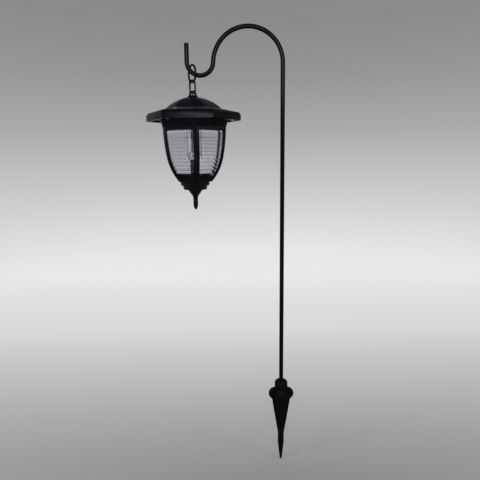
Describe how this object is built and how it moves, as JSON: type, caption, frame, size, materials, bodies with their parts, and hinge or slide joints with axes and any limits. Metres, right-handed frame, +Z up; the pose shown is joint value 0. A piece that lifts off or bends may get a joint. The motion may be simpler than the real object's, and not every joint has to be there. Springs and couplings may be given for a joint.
{
  "type": "solar garden light",
  "caption": "Hexagonal solar lantern with clear windows, hanging by a ring and link from a shepherd's hook on a ground spike.",
  "frame": {"origin": "on the pole's axis at ground level, where the spike's fins go into the soil", "axes": "+Z up along the pole, -X towards the hanging lantern, -Y towards the viewer of the picture"},
  "size_m": [0.2124, 0.1188, 0.6597],
  "materials": {
    "spike_plastic": "moulded",
    "rod_paint": "satin",
    "lantern_black": "satin",
    "base_plastic": "moulded",
    "plated_steel": "plated",
    "solar_cells": "glossy",
    "soft_rubber": "matte",
    "board_green": "satin",
    "lamp_epoxy": "clear",
    "white_plastic": "satin",
    "cell_wrap": "printed wrap",
    "lead_jacket": "satin",
    "clear_plastic": "clear"
  },
  "bodies": {
    "stand": {"ground_spike": "spike_plastic", "shepherd_hook": "rod_paint"},
    "ring": {"hook_ring": "rod_paint"},
    "link": {"chain_link": "rod_paint"},
    "cap": {"hanging_loop": "rod_paint", "loop_nut": "plated_steel", "roof_shell": "lantern_black", "solar_panel_front": "solar_cells", "solar_panel_back": "solar_cells", "cap_base": "base_plastic", "neck_gasket": "soft_rubber", "base_screw_1": "plated_steel", "base_screw_2": "plated_steel", "base_screw_3": "plated_steel", "circuit_board": "board_green", "led_lamp": "lamp_epoxy", "switch_housing": "plated_steel", "battery_tray": "base_plastic", "battery_cell": "cell_wrap", "battery_spring": "plated_steel", "battery_plate": "plated_steel", "panel_lead_front": "lead_jacket", "panel_lead_back": "lead_jacket", "light_tube": "clear_plastic", "spread_lens": "clear_plastic"},
    "body": {"lantern_cage": "lantern_black", "window_pane_1": "clear_plastic", "window_pane_2": "clear_plastic", "window_pane_3": "clear_plastic", "window_pane_4": "clear_plastic", "window_pane_5": "clear_plastic", "window_pane_6": "clear_plastic", "base_cup": "lantern_black", "drop_finial": "lantern_black", "finial_nut": "plated_steel"},
    "switch": {"switch_slider": "white_plastic"}
  },
  "joints": [
    {"name": "ring_swing", "type": "hinge", "parent": "stand", "child": "ring", "pos_m": [-0.12585, 0, 0.49282], "axis": [0.7837, 0, -0.6212], "range_deg": [-20, 20]},
    {"name": "link_swing", "type": "hinge", "parent": "ring", "child": "link", "pos_m": [-0.12585, 0, 0.47982], "axis": [0.5299, -0.848, 0], "range_deg": [-20, 20]},
    {"name": "lantern_swing", "type": "hinge", "parent": "link", "child": "cap", "pos_m": [-0.12585, 0, 0.46502], "axis": [0.848, 0.5299, 0], "range_deg": [-20, 20]},
    {"name": "body_twist", "type": "hinge", "parent": "cap", "child": "body", "pos_m": [-0.12585, 0, 0.42748], "axis": [0, 0, 1], "range_deg": [0, 18.2]},
    {"name": "switch_slide", "type": "slide", "parent": "cap", "child": "switch", "axis": [0.9993, -0.0384, 0], "range_m": [0, 0.003]}
  ]
}
